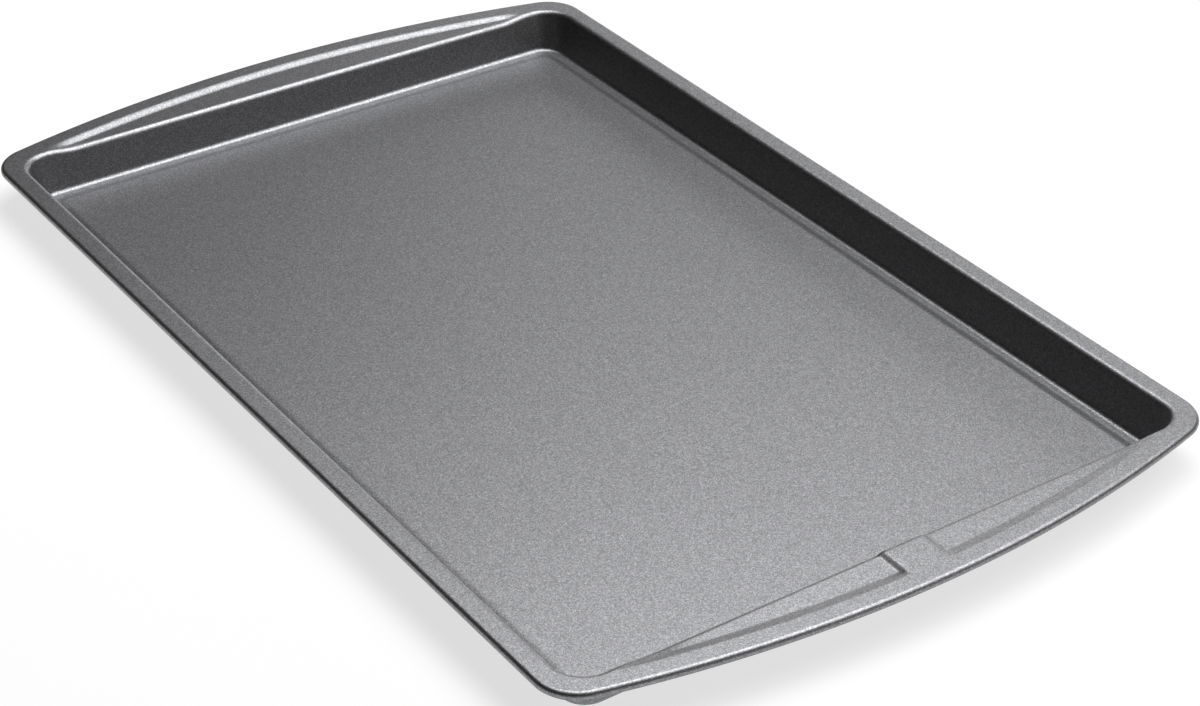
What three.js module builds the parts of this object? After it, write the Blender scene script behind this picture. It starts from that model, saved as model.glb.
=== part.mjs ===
import * as THREE from "three";

const { degToRad, lerp } = THREE.MathUtils;

// Driving sizes in millimetres. X runs across the pan, Y along it, Z up, and z = 0 is the table.
// The inside sizes are taken between the wall faces where they would meet the level of the rim.
const INSIDE_WIDTH = 278.5;
const INSIDE_LENGTH = 430.6;
const PAN_HEIGHT = 18.4;
const SHEET = 0.6;

// Walls: lean from upright, plan radius of the corners at rim and floor level, and the two bends
const WALL_LEAN = degToRad(16);
const WALL_CORNER = 13;
const BASE_CORNER = 9.5;
const WALL_TOP_BEND = 2.7;
const WALL_FOOT_BEND = 2.4;

// Floor: the middle panel stands above a narrow channel, which is what rests on the table
const PANEL_RISE = 0.8;
const PANEL_SLOPE = 4.7;
const CHANNEL_FLAT = 2.2;

// Rim: flat band with a rolled edge, which holds a wire
const RIM_BAND = 7.5;
const RIM_CORNER = 17.5;
const CURL_RADIUS = 1.8;
const CURL_TURN = degToRad(280);
const WIRE_CLEARANCE = 0.3;

// Bowed end handles: reach beyond the wall at the middle, how much of it is lost at the pan's sides, and how far
// the well lies off the middle towards the handle with the tab
const HANDLE_REACH = 26;
const HANDLE_BOW = 20.7;
const WELL_SHIFT = 1.2;

// Recess pressed into each handle inside a flat band, and the tab left standing in the near one.
// Its floor is deepest at the foot of the slope, rises from there towards the wall, and fades out before the sides.
const RECESS_BAND = 7.8;
const RECESS_DEPTH = 1.3;
const RECESS_SLOPE = 5;
const RECESS_RISE = degToRad(0.8);
const RECESS_STOP = 23;
const RECESS_FADE = 15;
const TAB_WIDTH = 16.4;
const TAB_SLOPE = 3.2;

// Fineness of the loft: stations round the pan and rings across each bend
const SIDE_STEPS = 3;
const CORNER_STEPS = 7;
const HANDLE_STEPS = 9;
const TAB_STEPS = 3;
const SLOPE_STEPS = 3;
const BEND_STEPS = 3;
const RECESS_STEPS = 4;
const CURL_STEPS = 8;
const WIRE_SIDES = 8;

// Share of the way across the handle that a narrow recess may take
const RECESS_SHARE = 0.8;

// Sizes that follow from the ones above
const halfWidth = INSIDE_WIDTH / 2;
const halfLength = INSIDE_LENGTH / 2;
const leanRatio = Math.tan(WALL_LEAN);
const bendAngle = Math.PI / 2 - WALL_LEAN;
const topTangent = WALL_TOP_BEND * Math.tan(bendAngle / 2);
const footTangent = WALL_FOOT_BEND * Math.tan(bendAngle / 2);
const wallRun = (PAN_HEIGHT - SHEET) * leanRatio;
const rimHalfWidth = halfWidth + topTangent + RIM_BAND;
const rimHalfLength = halfLength + HANDLE_REACH;
const endRadius = (rimHalfWidth ** 2 + HANDLE_BOW ** 2) / (2 * HANDLE_BOW);
const flatInset = (RIM_BAND + CURL_RADIUS) / 2;
const recessReach = RECESS_BAND + RECESS_SLOPE - flatInset;
const curlHeight = PAN_HEIGHT - CURL_RADIUS;
const wireRadius = CURL_RADIUS - SHEET - WIRE_CLEARANCE;
const tabFoot = TAB_WIDTH / 2 + TAB_SLOPE;

/** Evenly spaced numbers from 0 to 1. */
function fractions(steps) {
  return Array.from({ length: steps + 1 }, (_, i) => i / steps);
}

/** Smooth S-shaped rise from 0 to 1, level at both ends. */
function ease(t) {
  return THREE.MathUtils.smoothstep(t, 0, 1);
}

/** Centre of the arc that rounds a rim corner, for a corner of the given loop. */
function bowedCorner(halfX, halfY, corner, radius) {
  const x = halfX - corner;
  const arcY = halfY - radius;
  return new THREE.Vector2(x, arcY + Math.sqrt((radius - corner) ** 2 - x ** 2));
}

/** Places along one half of an end, from the corner to the middle, with the tab's slope kept in step. */
function endStations(endX) {
  const handle = fractions(HANDLE_STEPS).slice(0, -1).map((t) => lerp(endX, tabFoot, t));
  const slope = fractions(TAB_STEPS).map((t) => tabFoot - TAB_SLOPE * t);
  return [...handle, ...slope, 0];
}

/**
 * Closed loop in plan with rounded corners and ends bowed to the given radius, or straight where it is infinite.
 * Every loop has the same stations, so that loops join point by point.
 */
function planLoop(halfX, halfY, corner, radius) {
  const bowed = Number.isFinite(radius);
  const straight = new THREE.Vector2(halfX - corner, halfY - corner);
  const centre = bowed ? bowedCorner(halfX, halfY, corner, radius) : straight;
  const turn = bowed ? Math.acos(centre.x / (radius - corner)) : Math.PI / 2;
  const side = fractions(SIDE_STEPS).slice(0, -1).map((t) => new THREE.Vector2(halfX, centre.y * t));
  const round = fractions(CORNER_STEPS).slice(0, -1).map((t) => {
    const spoke = new THREE.Vector2(Math.cos(turn * t), Math.sin(turn * t));
    return spoke.multiplyScalar(corner).add(centre);
  });
  const endX = centre.x + corner * Math.cos(turn);
  const end = endStations(endX).map((x) => {
    const y = bowed ? halfY - radius + Math.sqrt(radius ** 2 - x ** 2) : halfY;
    return new THREE.Vector2(x, y);
  });
  const quarter = [...side, ...round, ...end];
  const mirrored = quarter.slice(0, -1).reverse().map((p) => new THREE.Vector2(-p.x, p.y));
  const half = [...quarter, ...mirrored];
  const rest = half.slice(1, -1).reverse().map((p) => new THREE.Vector2(p.x, -p.y));
  return [...half, ...rest];
}

/** Loop with straight ends, moved with the well. */
function wellLoop(halfX, halfY, corner) {
  return planLoop(halfX, halfY, corner, Infinity).map((p) => new THREE.Vector2(p.x, p.y - WELL_SHIFT));
}

/** Loop set out from the line where the wall faces meet the channel. */
function baseLoop(out) {
  return wellLoop(halfWidth - wallRun + out, halfLength - wallRun + out, BASE_CORNER + out);
}

/** Loop set out from the line where the wall faces meet the level of the rim. */
function topLoop(out) {
  return wellLoop(halfWidth + out, halfLength + out, WALL_CORNER + out);
}

/** Loop set in from the outer edge of the rim. */
function rimLoop(inset) {
  return planLoop(rimHalfWidth - inset, rimHalfLength - inset, RIM_CORNER - inset, endRadius - inset);
}

/** Distance of a plan point from the outer edge of the rim, which is a side, a corner or a bowed end. */
function rimInset(point) {
  const x = Math.abs(point.x);
  const y = Math.abs(point.y);
  const corner = bowedCorner(rimHalfWidth, rimHalfLength, RIM_CORNER, endRadius);
  const arcY = rimHalfLength - endRadius;
  if (y <= corner.y) {
    return rimHalfWidth - x;
  }
  if (x * (corner.y - arcY) > corner.x * (y - arcY)) {
    return RIM_CORNER - Math.hypot(x - corner.x, y - corner.y);
  }
  return endRadius - Math.hypot(x, y - arcY);
}

/** Depth of the handle recess at a plan point: it falls away from its band, and ends at the sides and the tab. */
function recessDepth(point) {
  const inward = rimInset(point) - RECESS_BAND;
  const floor = RECESS_DEPTH - Math.tan(RECESS_RISE) * Math.max(inward - RECESS_SLOPE, 0);
  const end = ease((rimHalfWidth - RECESS_STOP - Math.abs(point.x)) / RECESS_FADE);
  const aside = ease((Math.abs(point.x) - TAB_WIDTH / 2) / TAB_SLOPE);
  return floor * ease(inward / RECESS_SLOPE) * end * (point.y < 0 ? aside : 1);
}

/** Ring of points at one height. */
function level(loop, z) {
  return loop.map((p) => new THREE.Vector3(p.x, p.y, z));
}

const wallDepths = topLoop(topTangent).map(recessDepth);

/** Ring on the head of the wall, which sinks with the recess and moves in along the lean as it sinks. */
function headRing(out, drop) {
  const high = topLoop(out);
  const low = topLoop(out - RECESS_DEPTH * leanRatio);
  return high.map((p, i) => {
    const at = p.clone().lerp(low[i], wallDepths[i] / RECESS_DEPTH);
    return new THREE.Vector3(at.x, at.y, PAN_HEIGHT - drop - wallDepths[i]);
  });
}

/** Ring set in from the flat of the rim towards the wall, drawn together where the handle is narrow. */
function recessRing(inward, skin) {
  const wall = headRing(topTangent, skin);
  return rimLoop(flatInset).map((p, i) => {
    const gap = Math.hypot(wall[i].x - p.x, wall[i].y - p.y);
    const share = Math.min(1 / gap, RECESS_SHARE / recessReach);
    const at = p.clone().lerp(wall[i], inward * share);
    return new THREE.Vector3(at.x, at.y, PAN_HEIGHT - skin - recessDepth(at));
  });
}

/** Rings from the floor panel to the flat of the rim, on the inside face or one sheet thickness behind it. */
function faceRings(skin) {
  const channelIn = -footTangent - CHANNEL_FLAT;
  const floor = fractions(SLOPE_STEPS).map((t) => {
    const z = SHEET + PANEL_RISE * (1 - ease(t)) - skin;
    return level(baseLoop(channelIn - PANEL_SLOPE * (1 - t)), z);
  });
  const foot = fractions(BEND_STEPS).map((t) => {
    const radius = WALL_FOOT_BEND + skin;
    const z = SHEET + WALL_FOOT_BEND - radius * Math.cos(bendAngle * t);
    return level(baseLoop(radius * Math.sin(bendAngle * t) - footTangent), z);
  });
  const head = fractions(BEND_STEPS).map((t) => {
    const radius = WALL_TOP_BEND - skin;
    const angle = bendAngle * (1 - t);
    return headRing(topTangent - radius * Math.sin(angle), WALL_TOP_BEND - radius * Math.cos(angle));
  });
  const slope = fractions(RECESS_STEPS).map((t) => recessRing(recessReach - RECESS_SLOPE * t, skin));
  return [...floor, ...foot, ...head, ...slope, recessRing(0, skin)];
}

/** Ring at an angle round the middle of the rolled edge, turned outward from its top. */
function curlRing(radius, angle) {
  return level(rimLoop(CURL_RADIUS - radius * Math.sin(angle)), curlHeight + radius * Math.cos(angle));
}

/** Triangles between neighbouring rings, with the last ring joined to the first where the loft is closed. */
function bandFaces(count, bands, total) {
  const faces = [];
  for (let band = 0; band < bands; band += 1) {
    const here = band * count;
    const next = ((band + 1) % total) * count;
    for (let i = 0; i < count; i += 1) {
      const j = (i + 1) % count;
      faces.push(here + i, next + i, next + j);
      faces.push(here + i, next + j, here + j);
    }
  }
  return faces;
}

/** Mesh from points and triangles. */
function solid(name, points, faces, material) {
  const geometry = new THREE.BufferGeometry().setFromPoints(points);
  geometry.setIndex(faces);
  geometry.computeVertexNormals();
  const mesh = new THREE.Mesh(geometry, material);
  mesh.name = name;
  return mesh;
}

/** Sheet pressing: up the inside face, round the roll and back along the underside, with both floors filled. */
function panBody() {
  const turns = fractions(CURL_STEPS).map((t) => CURL_TURN * t);
  const outerRoll = turns.map((angle) => curlRing(CURL_RADIUS, angle));
  const innerRoll = turns.map((angle) => curlRing(CURL_RADIUS - SHEET, angle));
  const rings = [
    ...faceRings(0),
    ...outerRoll,
    ...innerRoll.reverse(),
    ...faceRings(SHEET).reverse(),
  ];
  const count = rings[0].length;
  const faces = bandFaces(count, rings.length - 1, rings.length);
  const points = rings.flat();
  const last = points.length - count;
  const topMiddle = points.push(new THREE.Vector3(0, 0, SHEET + PANEL_RISE)) - 1;
  const underMiddle = points.push(new THREE.Vector3(0, 0, PANEL_RISE)) - 1;
  for (let i = 0; i < count; i += 1) {
    const j = (i + 1) % count;
    faces.push(topMiddle, i, j);
    faces.push(underMiddle, last + j, last + i);
  }
  const coating = new THREE.MeshStandardMaterial({ color: 0x6a6a6d, roughness: 0.42, metalness: 0.75 });
  return solid("pan_body", points, faces, coating);
}

/** Closed wire ring in the middle of the rolled edge. */
function rimWire() {
  const angles = fractions(WIRE_SIDES).slice(0, -1).map((t) => 2 * Math.PI * t);
  const rings = angles.map((angle) => curlRing(wireRadius, angle));
  const faces = bandFaces(rings[0].length, rings.length, rings.length);
  const steel = new THREE.MeshStandardMaterial({ color: 0x9b9b9d, roughness: 0.35, metalness: 1 });
  return solid("rim_wire", rings.flat(), faces, steel);
}

const pan = new THREE.Group();
pan.name = "sheet_pan";
pan.add(panBody(), rimWire());

export default pan;
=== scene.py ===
"""Sheet pan of coated steel: the fine surface of its pressing, the finishes, the stage and the camera.

Lengths are in metres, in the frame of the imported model: X across the pan, Y along it, Z up, and the
table at z = 0.
"""

import logging
import math
from dataclasses import dataclass, field
from enum import Enum

import bpy
import numpy as np
from mathutils import Matrix, Vector


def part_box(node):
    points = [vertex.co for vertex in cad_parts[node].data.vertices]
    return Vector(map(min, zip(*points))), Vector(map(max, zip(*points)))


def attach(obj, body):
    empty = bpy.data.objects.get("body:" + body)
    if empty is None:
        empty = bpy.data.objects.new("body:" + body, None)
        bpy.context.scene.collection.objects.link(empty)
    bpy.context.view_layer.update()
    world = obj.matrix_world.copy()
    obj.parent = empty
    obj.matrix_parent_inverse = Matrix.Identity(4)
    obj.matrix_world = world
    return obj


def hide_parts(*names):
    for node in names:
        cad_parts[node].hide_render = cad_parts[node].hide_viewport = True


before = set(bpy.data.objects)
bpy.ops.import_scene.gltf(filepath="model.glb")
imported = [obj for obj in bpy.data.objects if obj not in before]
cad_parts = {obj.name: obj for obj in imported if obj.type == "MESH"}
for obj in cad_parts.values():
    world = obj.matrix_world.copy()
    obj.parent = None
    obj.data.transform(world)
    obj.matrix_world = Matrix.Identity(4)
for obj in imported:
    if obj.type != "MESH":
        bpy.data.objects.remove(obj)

LOG = logging.getLogger("sheet_pan")
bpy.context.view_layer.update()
BODY = "root"
PRESSING_NODE = "pan_body"
WIRE_NODE = "rim_wire"
MILLIMETRE = 0.001
SHARP_EDGE = math.radians(60.0)

Colour = tuple[float, float, float]


class Face(Enum):
    """The two faces of the sheet. The value is how many thicknesses a face lies behind the inside one."""

    INSIDE = 0
    UNDERSIDE = 1


def ease(t: np.ndarray) -> np.ndarray:
    """S-shaped rise from 0 to 1, level at both ends: 3 t squared less 2 t cubed, t held in that range."""
    held = np.clip(t, 0.0, 1.0)
    return held * held * (3.0 - 2.0 * held)


def fractions(steps: int) -> np.ndarray:
    """Evenly spaced numbers from 0 to 1."""
    return np.linspace(0.0, 1.0, steps + 1)


def column(values: np.ndarray | float) -> np.ndarray:
    """Values as a column, so that each one gives a ring of its own."""
    return np.atleast_1d(np.asarray(values, dtype=float))[:, None]


def opaque(colour: Colour) -> tuple[float, float, float, float]:
    """Colour with full alpha."""
    return (*colour, 1.0)


class NodeTree:
    """A material's or world's nodes, added and linked by name."""

    def __init__(self, owner: bpy.types.Material | bpy.types.World) -> None:
        """Empties the owner's node tree.

        Args:
            owner: The material or world to fill.
        """
        owner.use_nodes = True
        self.tree = owner.node_tree
        self.tree.nodes.clear()

    def add(
        self, kind: str, settings: dict[str, object] | None = None, **sockets: object
    ) -> bpy.types.Node:
        """New node with its settings and inputs set or linked.

        Args:
            kind: Blender's name for the type of node.
            settings: Values of the node's own properties.
            **sockets: Input sockets by name, with _ for a blank. An output socket is linked, and any
                other value is set.

        Returns:
            The new node.
        """
        node = self.tree.nodes.new(kind)
        for name, value in (settings or {}).items():
            setattr(node, name, value)
        for name, value in sockets.items():
            self.feed(node.inputs[name.replace("_", " ")], value)
        return node

    def feed(self, socket: bpy.types.NodeSocket, value: object) -> None:
        """Links an output socket to an input, or sets the input's value.

        Args:
            socket: The input.
            value: An output socket, or what to set.
        """
        if isinstance(value, bpy.types.NodeSocket):
            self.tree.links.new(value, socket)
        else:
            socket.default_value = value

    def maths(self, operation: str, first: object, second: object) -> bpy.types.NodeSocket:
        """Result of a Math node on two inputs.

        Args:
            operation: Blender's name for the operation.
            first: Output socket or number.
            second: Output socket or number.

        Returns:
            The node's output socket.
        """
        node = self.add("ShaderNodeMath", {"operation": operation})
        self.feed(node.inputs[0], first)
        self.feed(node.inputs[1], second)
        return node.outputs["Value"]


@dataclass(frozen=True)
class FleckedCoating:
    """Dark grey non-stick coating with fine metal flecks and a half gloss."""

    name: str = "flecked_coating"
    dark: Colour = (0.183, 0.185, 0.192)
    middle: Colour = (0.276, 0.278, 0.288)
    bright: Colour = (0.423, 0.426, 0.442)
    middle_share: float = 0.6
    fleck_size: float = 0.36 * MILLIMETRE
    cloud_size: float = 25.0 * MILLIMETRE
    cloud_detail: float = 4.0
    peel_size: float = 0.6 * MILLIMETRE
    peel_detail: float = 2.0
    peel_height: float = 0.003 * MILLIMETRE
    smoothest: float = 0.436
    roughest: float = 0.45

    def material(self) -> bpy.types.Material:
        """Grey that steps from fleck to fleck, over soft clouds of roughness and a fine orange peel.

        Returns:
            The new material.
        """
        made = bpy.data.materials.new(self.name)
        nodes = NodeTree(made)
        place = nodes.add("ShaderNodeTexCoord").outputs["Object"]
        flecks = nodes.add("ShaderNodeTexVoronoi", Vector=place, Scale=1.0 / self.fleck_size)
        shade = nodes.add("ShaderNodeSeparateColor", Color=flecks.outputs["Color"])
        ramp = nodes.add("ShaderNodeValToRGB", Fac=shade.outputs["Red"])
        ramp.color_ramp.elements[0].color = opaque(self.dark)
        ramp.color_ramp.elements[1].color = opaque(self.bright)
        ramp.color_ramp.elements.new(self.middle_share).color = opaque(self.middle)
        clouds = nodes.add(
            "ShaderNodeTexNoise", Vector=place, Scale=1.0 / self.cloud_size, Detail=self.cloud_detail
        )
        gloss = nodes.add(
            "ShaderNodeMapRange", Value=clouds.outputs["Fac"], To_Min=self.smoothest, To_Max=self.roughest
        )
        peel = nodes.add(
            "ShaderNodeTexNoise", Vector=place, Scale=1.0 / self.peel_size, Detail=self.peel_detail
        )
        relief = nodes.add(
            "ShaderNodeBump", Height=peel.outputs["Fac"], Strength=1.0, Distance=self.peel_height
        )
        shader = nodes.add(
            "ShaderNodeBsdfPrincipled",
            Base_Color=ramp.outputs["Color"],
            Roughness=gloss.outputs["Result"],
            Normal=relief.outputs["Normal"],
            Metallic=1.0,
        )
        nodes.add("ShaderNodeOutputMaterial", Surface=shader.outputs["BSDF"])
        return made


@dataclass(frozen=True)
class DrawnWire:
    """Bare drawn steel wire, with fine streaks from the die."""

    name: str = "drawn_wire"
    dull: Colour = (0.42, 0.42, 0.43)
    bright: Colour = (0.62, 0.62, 0.63)
    streak_size: float = 0.3 * MILLIMETRE
    streak_detail: float = 3.0
    smoothest: float = 0.28
    roughest: float = 0.42

    def material(self) -> bpy.types.Material:
        """Grey and gloss that both follow one fine noise.

        Returns:
            The new material.
        """
        made = bpy.data.materials.new(self.name)
        nodes = NodeTree(made)
        place = nodes.add("ShaderNodeTexCoord").outputs["Object"]
        streaks = nodes.add(
            "ShaderNodeTexNoise", Vector=place, Scale=1.0 / self.streak_size, Detail=self.streak_detail
        )
        ramp = nodes.add("ShaderNodeValToRGB", Fac=streaks.outputs["Fac"])
        ramp.color_ramp.elements[0].color = opaque(self.dull)
        ramp.color_ramp.elements[1].color = opaque(self.bright)
        gloss = nodes.add(
            "ShaderNodeMapRange", Value=streaks.outputs["Fac"], To_Min=self.smoothest, To_Max=self.roughest
        )
        shader = nodes.add(
            "ShaderNodeBsdfPrincipled",
            Base_Color=ramp.outputs["Color"],
            Roughness=gloss.outputs["Result"],
            Metallic=1.0,
        )
        nodes.add("ShaderNodeOutputMaterial", Surface=shader.outputs["BSDF"])
        return made


@dataclass(frozen=True)
class PaleFloor:
    """Matt floor that the camera sees a little lifted, so that it reads as a white ground with a shadow."""

    name: str = "pale_floor"
    paint: Colour = (0.32, 0.32, 0.32)
    glow: Colour = (1.0, 1.0, 1.0)
    lift: float = 0.7

    def material(self) -> bpy.types.Material:
        """Diffuse paint, with a glow that only camera, glossy and transmission rays see.

        Returns:
            The new material.
        """
        made = bpy.data.materials.new(self.name)
        nodes = NodeTree(made)
        path = nodes.add("ShaderNodeLightPath").outputs
        glossy = nodes.maths("MAXIMUM", path["Is Camera Ray"], path["Is Glossy Ray"])
        seen = nodes.maths("MAXIMUM", glossy, path["Is Transmission Ray"])
        shader = nodes.add(
            "ShaderNodeBsdfPrincipled",
            Base_Color=opaque(self.paint),
            Roughness=1.0,
            Specular_IOR_Level=0.0,
            Emission_Color=opaque(self.glow),
            Emission_Strength=nodes.maths("MULTIPLY", seen, self.lift),
        )
        nodes.add("ShaderNodeOutputMaterial", Surface=shader.outputs["BSDF"])
        return made


@dataclass(frozen=True)
class Fineness:
    """Steps of the pressing's grid round the pan and across each bend, and the guards of wide strips."""

    side: int = 8
    corner: int = 22
    handle: int = 52
    tab_slope: int = 12
    tab_top: int = 3
    panel: int = 3
    panel_slope: int = 12
    foot_bend: int = 10
    head_bend: int = 10
    recess: int = 16
    curl: int = 24
    wide_strip: float = 1.2 * MILLIMETRE
    guard: float = 0.25 * MILLIMETRE
    guard_share: float = 1.0 / 3.0


@dataclass
class PanPressing:
    """The pan as one pressed sheet: floor panel, channel, walls, rim, handles, recesses, tab and roll.

    The outer sizes come from the frame. The inside follows from them and from the sizes below.
    """

    rim_half_width: float
    rim_half_length: float
    height: float
    sheet: float = 0.6 * MILLIMETRE
    wall_lean: float = math.radians(16.0)
    wall_corner: float = 13.0 * MILLIMETRE
    base_corner: float = 9.5 * MILLIMETRE
    wall_top_bend: float = 2.7 * MILLIMETRE
    wall_foot_bend: float = 2.4 * MILLIMETRE
    panel_rise: float = 0.8 * MILLIMETRE
    panel_slope: float = 4.7 * MILLIMETRE
    channel_flat: float = 2.2 * MILLIMETRE
    rim_band: float = 7.5 * MILLIMETRE
    rim_corner: float = 17.5 * MILLIMETRE
    curl_radius: float = 1.8 * MILLIMETRE
    curl_turn: float = math.radians(280.0)
    handle_reach: float = 26.0 * MILLIMETRE
    handle_bow: float = 20.7 * MILLIMETRE
    well_shift: float = 1.2 * MILLIMETRE
    recess_band: float = 7.8 * MILLIMETRE
    recess_depth: float = 1.3 * MILLIMETRE
    recess_slope: float = 5.0 * MILLIMETRE
    recess_rise: float = math.radians(0.8)
    recess_stop: float = 23.0 * MILLIMETRE
    recess_fade: float = 15.0 * MILLIMETRE
    recess_share: float = 0.8
    tab_width: float = 16.4 * MILLIMETRE
    tab_slope: float = 3.2 * MILLIMETRE
    fineness: Fineness = field(default_factory=Fineness)
    finish: FleckedCoating = field(default_factory=FleckedCoating)

    @classmethod
    def from_frame(cls, node: str) -> "PanPressing":
        """Pressing with the outer width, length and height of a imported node."""
        _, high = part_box(node)
        return cls(rim_half_width=high.x, rim_half_length=high.y, height=high.z)

    @property
    def lean_ratio(self) -> float:
        """Run of the wall for each unit of its height."""
        return math.tan(self.wall_lean)

    @property
    def bend_angle(self) -> float:
        """Angle that the sheet turns through at the foot and at the head of the wall."""
        return math.pi / 2 - self.wall_lean

    @property
    def top_tangent(self) -> float:
        """Length from the sharp edge at the wall's head to the end of its bend."""
        return self.wall_top_bend * math.tan(self.bend_angle / 2)

    @property
    def foot_tangent(self) -> float:
        """Length from the sharp edge at the wall's foot to the end of its bend."""
        return self.wall_foot_bend * math.tan(self.bend_angle / 2)

    @property
    def half_width(self) -> float:
        """Half the inside width at the level of the rim."""
        return self.rim_half_width - self.rim_band - self.top_tangent

    @property
    def half_length(self) -> float:
        """Half the inside length at the level of the rim."""
        return self.rim_half_length - self.handle_reach

    @property
    def end_radius(self) -> float:
        """Radius of the bowed ends, from their width and how far they bow."""
        return (self.rim_half_width**2 + self.handle_bow**2) / (2 * self.handle_bow)

    @property
    def flat_inset(self) -> float:
        """Distance from the rim's outer edge to the middle of its flat."""
        return (self.rim_band + self.curl_radius) / 2

    @property
    def recess_reach(self) -> float:
        """Distance from the middle of the rim's flat to the foot of the recess's slope."""
        return self.recess_band + self.recess_slope - self.flat_inset

    @property
    def end_stations(self) -> np.ndarray:
        """Where the stations of half an end lie, from its corner to its middle.

        A station lies at its share of the end's outer x plus its own place. Shares fall to nothing at
        the foot of the tab, and the places beyond are the tab's own.

        Returns:
            Two rows: shares, then places.
        """
        fine = self.fineness
        foot = self.tab_width / 2 + self.tab_slope
        handle = 1.0 - fractions(fine.handle)[:-1]
        slope = foot - self.tab_slope * fractions(fine.tab_slope)[:-1]
        top = self.tab_width / 2 * (1.0 - fractions(fine.tab_top))
        shares = np.concatenate([handle, np.zeros(slope.size + top.size)])
        places = np.concatenate([foot * (1.0 - handle), slope, top])
        return np.stack([shares, places])

    def plan_loops(
        self, half_x: np.ndarray, half_y: np.ndarray, corner: np.ndarray, bow: np.ndarray
    ) -> np.ndarray:
        """Closed loops in plan, with rounded corners and bowed ends, whose stations match one by one.

        A quarter runs up the side, round the corner's arc and along the end's arc to the middle. The
        corner's arc touches the side and the end: its middle lies at the corner's radius from the side
        and, from the middle of the end's arc, at the difference of the two radii. The other quarters
        are mirror images.

        Args:
            half_x: Half widths, one for each loop.
            half_y: Half lengths at the middle of the ends.
            corner: Corner radii.
            bow: Radii of the ends. An infinite one makes a straight end.

        Returns:
            Points of shape (loops, stations, 2), anticlockwise from the middle of the right side.
        """
        half_x, half_y, corner, bow = np.broadcast_arrays(*map(column, (half_x, half_y, corner, bow)))
        straight = np.isinf(bow)
        radius = np.where(straight, 1.0, bow)
        centre_x = half_x - corner
        reach = np.where(straight, centre_x, radius - corner)
        bowed_y = half_y - radius + np.sqrt(np.maximum(reach**2 - centre_x**2, 0.0))
        centre_y = np.where(straight, half_y - corner, bowed_y)
        turn = np.where(straight, math.pi / 2, np.arccos(np.clip(centre_x / reach, -1.0, 1.0)))
        side_y = centre_y * fractions(self.fineness.side)[:-1]
        angle = turn * fractions(self.fineness.corner)[:-1]
        shares, places = self.end_stations
        end_x = (centre_x + corner * np.cos(turn)) * shares + places
        fall = np.where(straight, 0.0, radius - np.sqrt(np.maximum(radius**2 - end_x**2, 0.0)))
        x = np.concatenate([half_x + 0.0 * side_y, centre_x + corner * np.cos(angle), end_x], axis=1)
        y = np.concatenate([side_y, centre_y + corner * np.sin(angle), half_y - fall], axis=1)
        quarter = np.stack([x, y], axis=2)
        half = np.concatenate([quarter, quarter[:, -2::-1] * (-1.0, 1.0)], axis=1)
        return np.concatenate([half, half[:, -2:0:-1] * (1.0, -1.0)], axis=1)

    def well_loops(self, out: np.ndarray, corner: np.ndarray) -> np.ndarray:
        """Loops with straight ends, set out from the inside edge of the rim and moved with the well."""
        loops = self.plan_loops(self.half_width + out, self.half_length + out, corner, np.inf)
        return loops - (0.0, self.well_shift)

    def base_loops(self, out: np.ndarray) -> np.ndarray:
        """Loops set out from the line where the wall faces meet the channel."""
        run = (self.height - self.sheet) * self.lean_ratio
        return self.well_loops(out - run, self.base_corner + out)

    def top_loops(self, out: np.ndarray) -> np.ndarray:
        """Loops set out from the line where the wall faces meet the level of the rim."""
        return self.well_loops(out, self.wall_corner + out)

    def rim_loops(self, inset: np.ndarray) -> np.ndarray:
        """Loops set in from the outer edge of the rim."""
        return self.plan_loops(
            self.rim_half_width - inset,
            self.rim_half_length - inset,
            self.rim_corner - inset,
            self.end_radius - inset,
        )

    def rim_inset(self, plan: np.ndarray) -> np.ndarray:
        """Distance of plan points from the outer edge of the rim.

        Up to the corner's middle, the edge is the straight side. Past it, a line from the middle of the
        end's arc through the corner's middle parts the plan: the edge is the corner's arc on its outer
        side and the end's arc on its inner side.

        Args:
            plan: Points with x and y last.

        Returns:
            Distances, positive inward.
        """
        x, y = np.abs(plan[..., 0]), np.abs(plan[..., 1])
        arc_y = self.rim_half_length - self.end_radius
        centre_x = self.rim_half_width - self.rim_corner
        centre_y = arc_y + math.sqrt((self.end_radius - self.rim_corner) ** 2 - centre_x**2)
        from_corner = self.rim_corner - np.hypot(x - centre_x, y - centre_y)
        from_end = self.end_radius - np.hypot(x, y - arc_y)
        at_corner = x * (centre_y - arc_y) > centre_x * (y - arc_y)
        return np.where(
            y <= centre_y, self.rim_half_width - x, np.where(at_corner, from_corner, from_end)
        )

    def recess_depths(self, plan: np.ndarray) -> np.ndarray:
        """Depth of the handle recesses at plan points.

        It falls away inward from its band with an eased slope, rises a little from the slope's foot
        towards the wall, fades out before the pan's sides, and at the near end stops beside the tab.

        Args:
            plan: Points with x and y last.

        Returns:
            Depths below the rim.
        """
        inward = self.rim_inset(plan) - self.recess_band
        beyond = np.maximum(inward - self.recess_slope, 0.0)
        floor = self.recess_depth - math.tan(self.recess_rise) * beyond
        across = np.abs(plan[..., 0])
        aside = ease((across - self.tab_width / 2) / self.tab_slope)
        end = ease((self.rim_half_width - self.recess_stop - across) / self.recess_fade)
        return floor * ease(inward / self.recess_slope) * end * np.where(plan[..., 1] < 0.0, aside, 1.0)

    @staticmethod
    def level(loops: np.ndarray, z: np.ndarray) -> np.ndarray:
        """Rings of points from loops and one height for each loop."""
        heights = np.broadcast_to(column(z), loops.shape[:2])
        return np.concatenate([loops, heights[..., None]], axis=2)

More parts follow.
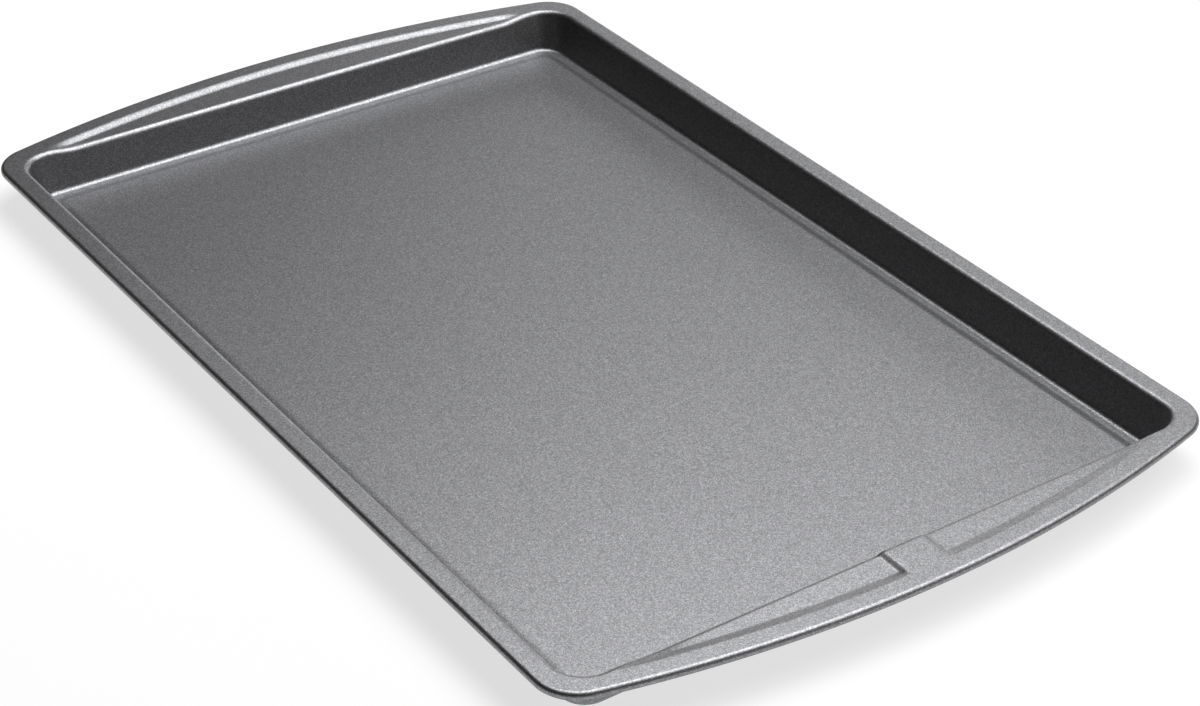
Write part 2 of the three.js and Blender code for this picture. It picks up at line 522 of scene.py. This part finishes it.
    def head_rings(self, out: np.ndarray, drop: np.ndarray) -> np.ndarray:
        """Rings on the head of the wall, which sinks with the recess and moves in along the lean.

        At full depth a ring lies further in by the depth times the lean's run. Elsewhere it lies at
        the share of that way that the recess's depth there is of its full depth.

        Args:
            out: How far each ring lies outside the sharp edge at the wall's head.
            drop: How far each ring lies below the rim where there is no recess.

        Returns:
            Points of shape (rings, stations, 3).
        """
        depth = self.recess_depths(self.top_loops(self.top_tangent))
        high = self.top_loops(out)
        low = self.top_loops(out - self.recess_depth * self.lean_ratio)
        share = depth[..., None] / self.recess_depth
        plan = high + (low - high) * share
        z = self.height - column(drop) - depth
        return np.concatenate([plan, z[..., None]], axis=2)

    def recess_rings(self, skin: float) -> np.ndarray:
        """Rings from the foot of the recess's slope outward to the flat of the rim.

        Each station runs straight from the flat of the rim towards the wall's head, as far as the slope
        is wide or a set share of the way, and lies as deep as the recess is there.

        Args:
            skin: Distance of the face behind the inside face.

        Returns:
            Points of shape (rings, stations, 3).
        """
        wall = self.head_rings(self.top_tangent, skin)[0, :, :2]
        flat = self.rim_loops(self.flat_inset)[0]
        gap = np.hypot(*(wall - flat).T)
        inward = np.append(self.recess_reach - self.recess_slope * fractions(self.fineness.recess), 0.0)
        share = column(inward) * np.minimum(1.0 / gap, self.recess_share / self.recess_reach)
        plan = flat + (wall - flat) * share[..., None]
        z = self.height - skin - self.recess_depths(plan)
        return np.concatenate([plan, z[..., None]], axis=2)

    def floor_rings(self, skin: float) -> np.ndarray:
        """Rings of the floor, from close to its middle out to the channel.

        The panel is its own edge drawn in towards the middle. Its slope is eased down to the channel.

        Args:
            skin: Distance of the face behind the inside face.

        Returns:
            Points of shape (rings, stations, 3).
        """
        slope = fractions(self.fineness.panel_slope)
        channel_edge = -self.foot_tangent - self.channel_flat
        loops = self.base_loops(channel_edge - self.panel_slope * (1.0 - slope))
        sloped = self.level(loops, self.sheet + self.panel_rise * (1.0 - ease(slope)) - skin)
        drawn_in = fractions(self.fineness.panel)[1:-1]
        panel = sloped[:1] * np.stack([drawn_in, drawn_in, np.ones_like(drawn_in)], axis=1)[:, None]
        return np.concatenate([panel, sloped])

    def face_rings(self, face: Face) -> np.ndarray:
        """Rings of one face of the sheet, from the middle of the floor panel out to the flat of the rim.

        The bends at the wall's foot and head are arcs, whose radii differ by the sheet on the two faces.

        Args:
            face: Which face of the sheet.

        Returns:
            Points of shape (rings, stations, 3).
        """
        skin = face.value * self.sheet
        foot_angle = self.bend_angle * fractions(self.fineness.foot_bend)
        foot_radius = self.wall_foot_bend + skin
        foot_loops = self.base_loops(foot_radius * np.sin(foot_angle) - self.foot_tangent)
        foot_drop = foot_radius * np.cos(foot_angle)
        foot = self.level(foot_loops, self.sheet + self.wall_foot_bend - foot_drop)
        head_angle = self.bend_angle * (1.0 - fractions(self.fineness.head_bend))
        head_radius = self.wall_top_bend - skin
        head = self.head_rings(
            self.top_tangent - head_radius * np.sin(head_angle),
            self.wall_top_bend - head_radius * np.cos(head_angle),
        )
        return np.concatenate([self.floor_rings(skin), foot, head, self.recess_rings(skin)])

    def roll_rings(self, face: Face) -> np.ndarray:
        """Rings round the rolled edge: circles about its middle, from the top outward and under.

        Args:
            face: Which face of the sheet.

        Returns:
            Points of shape (rings, stations, 3).
        """
        angle = self.curl_turn * fractions(self.fineness.curl)
        radius = self.curl_radius - face.value * self.sheet
        loops = self.rim_loops(self.curl_radius - radius * np.sin(angle))
        return self.level(loops, self.height - self.curl_radius + radius * np.cos(angle))

    def guarded(self, rings: np.ndarray) -> np.ndarray:
        """Rings with two more in each wide strip, close to its sides.

        Smooth shading then turns only within the guards and keeps the middle of the strip flat.

        Args:
            rings: Points of shape (rings, stations, 3).

        Returns:
            The old rings with the new ones between them.
        """
        fine = self.fineness
        step = np.diff(rings, axis=0)
        gap = np.maximum(np.linalg.norm(step, axis=2), fine.guard)
        near = step * np.minimum(fine.guard / gap, fine.guard_share)[..., None]
        strips = np.stack([rings[:-1], rings[:-1] + near, rings[1:] - near], axis=1)
        wide = gap.mean(axis=1) > fine.wide_strip
        kept = np.stack([np.ones_like(wide), wide, wide], axis=1)
        return np.concatenate([strips[kept], rings[-1:]])

    def build(self, name: str) -> bpy.types.Object:
        """Closed mesh of the pressing: out along the inside, round the roll and back along the underside.

        Args:
            name: Name of the new piece.

        Returns:
            The piece, riding on the pan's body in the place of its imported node.
        """
        rings = np.concatenate(
            [
                self.face_rings(Face.INSIDE),
                self.roll_rings(Face.INSIDE),
                self.roll_rings(Face.UNDERSIDE)[::-1],
                self.face_rings(Face.UNDERSIDE)[::-1],
            ]
        )
        middles = [(0.0, 0.0, self.sheet + self.panel_rise), (0.0, 0.0, self.panel_rise)]
        piece = lofted_piece(name, self.guarded(rings), np.array(middles))
        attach(piece, BODY)
        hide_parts(PRESSING_NODE)
        return piece

    def dress(self, piece: bpy.types.Object) -> None:
        """Coats the whole sheet in its finish."""
        piece.data.materials.append(self.finish.material())


def lofted_piece(name: str, rings: np.ndarray, poles: np.ndarray) -> bpy.types.Object:
    """Closed smooth mesh over a stack of rings, with a pole in the middle of the first and of the last.

    Args:
        name: Name of the new piece.
        rings: Points of shape (rings, stations, 3), anticlockwise seen from outside the first ring.
        poles: The two middle points.

    Returns:
        The new object, at the origin and linked to the scene.
    """
    count, stations = rings.shape[:2]
    grid = np.arange(count * stations).reshape(count, stations)
    beside = np.roll(grid, -1, axis=1)
    quads = np.stack([grid[:-1], grid[1:], beside[1:], beside[:-1]], axis=2).reshape(-1, 4)
    first, last = grid.size, grid.size + 1
    first_fan = np.stack([np.full(stations, first), grid[0], beside[0]], axis=1)
    last_fan = np.stack([np.full(stations, last), beside[-1], grid[-1]], axis=1)
    points = np.concatenate([rings.reshape(-1, 3), poles])
    mesh = bpy.data.meshes.new(name)
    mesh.from_pydata(points.tolist(), [], quads.tolist() + first_fan.tolist() + last_fan.tolist())
    mesh.polygons.foreach_set("use_smooth", np.ones(len(mesh.polygons), dtype=bool))
    mesh.set_sharp_from_angle(angle=SHARP_EDGE)
    mesh.update()
    piece = bpy.data.objects.new(name, mesh)
    bpy.context.scene.collection.objects.link(piece)
    return piece


@dataclass
class RimWire:
    """Closed ring of wire inside the rolled edge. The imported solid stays, in a better finish."""

    piece: bpy.types.Object
    finish: DrawnWire = field(default_factory=DrawnWire)

    def dress(self) -> None:
        """Puts the finish on the solid's own material slots."""
        made = self.finish.material()
        for slot in self.piece.material_slots:
            slot.material = made


@dataclass(frozen=True)
class Softbox:
    """Soft panel of light that faces the pan. Its bearing turns from +Y towards +X."""

    name: str
    bearing: float
    elevation: float
    distance: float
    width: float
    height: float
    radiance: float

    def build(self) -> bpy.types.Object:
        """Area lamp whose power gives the panel its radiance: radiance times pi times its area.

        Returns:
            The lamp, linked to the scene.
        """
        lamp = bpy.data.lights.new(self.name, "AREA")
        lamp.shape = "RECTANGLE"
        lamp.size = self.width
        lamp.size_y = self.height
        lamp.energy = self.radiance * math.pi * self.width * self.height
        made = bpy.data.objects.new(self.name, lamp)
        level = math.cos(self.elevation)
        away = Vector(
            (level * math.sin(self.bearing), level * math.cos(self.bearing), math.sin(self.elevation))
        )
        made.location = away * self.distance
        made.rotation_euler = away.to_track_quat("Z", "Y").to_euler()
        bpy.context.scene.collection.objects.link(made)
        return made


@dataclass
class Studio:
    """Floor, four soft panels and a dim warm room round the pan."""

    floor_side: float = 12.0
    floor: PaleFloor = field(default_factory=PaleFloor)
    key: Softbox = Softbox(
        name="key_softbox",
        bearing=math.radians(58.0),
        elevation=math.radians(70.0),
        distance=2.0,
        width=1.35,
        height=1.35,
        radiance=6.15,
    )
    backdrop: Softbox = Softbox(
        name="low_backdrop",
        bearing=math.radians(54.0),
        elevation=math.radians(10.0),
        distance=2.6,
        width=2.4,
        height=0.9,
        radiance=1.85,
    )
    low_fill: Softbox = Softbox(
        name="low_fill",
        bearing=math.radians(155.0),
        elevation=math.radians(18.0),
        distance=2.6,
        width=1.6,
        height=1.0,
        radiance=0.37,
    )
    high_fill: Softbox = Softbox(
        name="high_fill",
        bearing=math.radians(118.0),
        elevation=math.radians(54.0),
        distance=2.6,
        width=1.4,
        height=1.4,
        radiance=4.0,
    )
    room: Colour = (0.007, 0.004, 0.003)

    def build(self) -> list[str]:
        """Adds the floor, the panels and the room's dim light, and gives the names of what was added."""
        panels = (self.key, self.backdrop, self.low_fill, self.high_fill)
        return [self.lay_floor(), *(panel.build().name for panel in panels), self.dim_room()]

    def lay_floor(self) -> str:
        """Lays a square floor at the level of the table.

        Returns:
            The floor's name.
        """
        half = self.floor_side / 2
        corners = [(-half, -half, 0.0), (half, -half, 0.0), (half, half, 0.0), (-half, half, 0.0)]
        mesh = bpy.data.meshes.new("floor")
        mesh.from_pydata(corners, [], [(0, 1, 2, 3)])
        mesh.materials.append(self.floor.material())
        ground = bpy.data.objects.new("floor", mesh)
        bpy.context.scene.collection.objects.link(ground)
        return ground.name

    def dim_room(self) -> str:
        """Gives the world the room's colour.

        Returns:
            The world's name.
        """
        world = bpy.data.worlds.new("room")
        bpy.context.scene.world = world
        nodes = NodeTree(world)
        light = nodes.add("ShaderNodeBackground", Color=opaque(self.room), Strength=1.0)
        nodes.add("ShaderNodeOutputWorld", Surface=light.outputs["Background"])
        return world.name


@dataclass(frozen=True)
class PhotoCamera:
    """Camera of the photograph: its place and turn, and its lens in pixels of a frame 1200 wide."""

    place: tuple[float, float, float] = (-0.53382, -0.80671, 0.59988)
    bearing: float = math.radians(36.051)
    dip: float = math.radians(32.514)
    roll: float = math.radians(-0.981)
    frame_width: float = 1200.0
    focal_length: float = 2780.65
    axis_right_of_middle: float = 65.0
    sensor: float = 36.0

    def build(self) -> bpy.types.Object:
        """Camera that looks along its bearing, dips and rolls, with its lens shifted to the axis.

        Returns:
            The camera, set as the scene's own.
        """
        level = math.cos(self.dip)
        forward = np.array(
            [math.sin(self.bearing) * level, math.cos(self.bearing) * level, -math.sin(self.dip)]
        )
        flat_right = np.array([math.cos(self.bearing), -math.sin(self.bearing), 0.0])
        flat_down = np.cross(forward, flat_right)
        right = math.cos(self.roll) * flat_right + math.sin(self.roll) * flat_down
        down = math.cos(self.roll) * flat_down - math.sin(self.roll) * flat_right
        lens = bpy.data.cameras.new("photo_camera")
        lens.sensor_width = self.sensor
        lens.lens = self.focal_length / self.frame_width * self.sensor
        lens.shift_x = -self.axis_right_of_middle / self.frame_width
        made = bpy.data.objects.new("photo_camera", lens)
        turned = Matrix(np.column_stack([right, -down, -forward]).tolist()).to_4x4()
        made.matrix_world = Matrix.Translation(self.place) @ turned
        bpy.context.scene.collection.objects.link(made)
        bpy.context.scene.camera = made
        return made


def main() -> None:
    """Builds the pressing, dresses it and the wire, and sets the stage and the camera."""
    logging.basicConfig(level=logging.INFO)
    bpy.context.scene.view_settings.view_transform = "Standard"
    pan = PanPressing.from_frame(PRESSING_NODE)
    pressing = pan.build("pan_pressing")
    pan.dress(pressing)
    LOG.info("%s: %d faces", pressing.name, len(pressing.data.polygons))
    wire = RimWire(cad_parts[WIRE_NODE])
    wire.dress()
    LOG.info("%s: dressed in %s", wire.piece.name, wire.finish.name)
    for name in Studio().build():
        LOG.info("%s: on the set", name)
    LOG.info("%s: in place", PhotoCamera().build().name)


if __name__ == "__main__":
    main()
